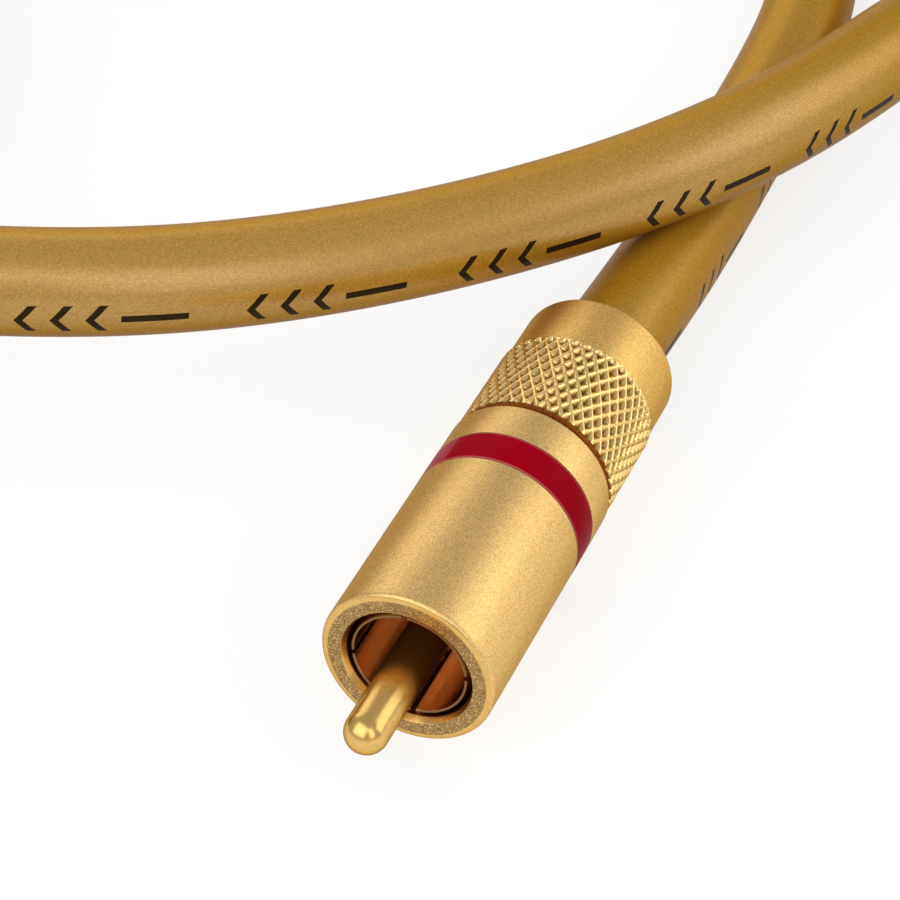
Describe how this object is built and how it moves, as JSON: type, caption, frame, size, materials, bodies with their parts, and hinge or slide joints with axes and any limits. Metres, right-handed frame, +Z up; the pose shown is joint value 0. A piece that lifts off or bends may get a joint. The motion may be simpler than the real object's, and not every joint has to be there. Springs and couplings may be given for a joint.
{
  "type": "digital coaxial cable",
  "caption": "Digital audio cable with a gold-plated phono plug at each end, its free length coiled and tied",
  "frame": {"origin": "on the surface that the cable lies on, below the middle of the near plug's bounding box", "axes": "+Z up; the near plug lies along Y with its pin towards -Y and its cable towards +Y"},
  "size_m": [0.1773, 0.1614, 0.0272],
  "materials": {
    "blasted_gold": "gold plate over a fine bead-blasted surface, satin",
    "polished_gold": "polished gold plate",
    "film": "printed crimson film, glossy",
    "insulator": "off-white fluoropolymer, matt",
    "braid": "tinned copper wires, bright",
    "dielectric": "foamed white plastic, matt",
    "conductor": "silver-plated copper, bright",
    "jacket": "gold-coloured plastic with fine metallic flakes, satin",
    "tie": "black woven hook-and-loop strap"
  },
  "bodies": {
    "root": {"near_shell": "blasted_gold", "near_colour_band": "film", "near_ground_body": "polished_gold", "near_insulator": "insulator", "near_centre_pin": "polished_gold", "near_collar": "blasted_gold", "near_cable_clamp": "polished_gold", "near_braid": "braid", "near_dielectric": "dielectric", "near_conductor": "conductor", "far_shell": "blasted_gold", "far_colour_band": "film", "far_ground_body": "polished_gold", "far_insulator": "insulator", "far_centre_pin": "polished_gold", "far_collar": "blasted_gold", "far_cable_clamp": "polished_gold", "far_braid": "braid", "far_dielectric": "dielectric", "far_conductor": "conductor", "cable_from_near_plug": "jacket", "cable_coil": "jacket", "cable_to_far_plug": "jacket", "tie_1": "tie", "tie_2": "tie"}
  },
  "joints": []
}
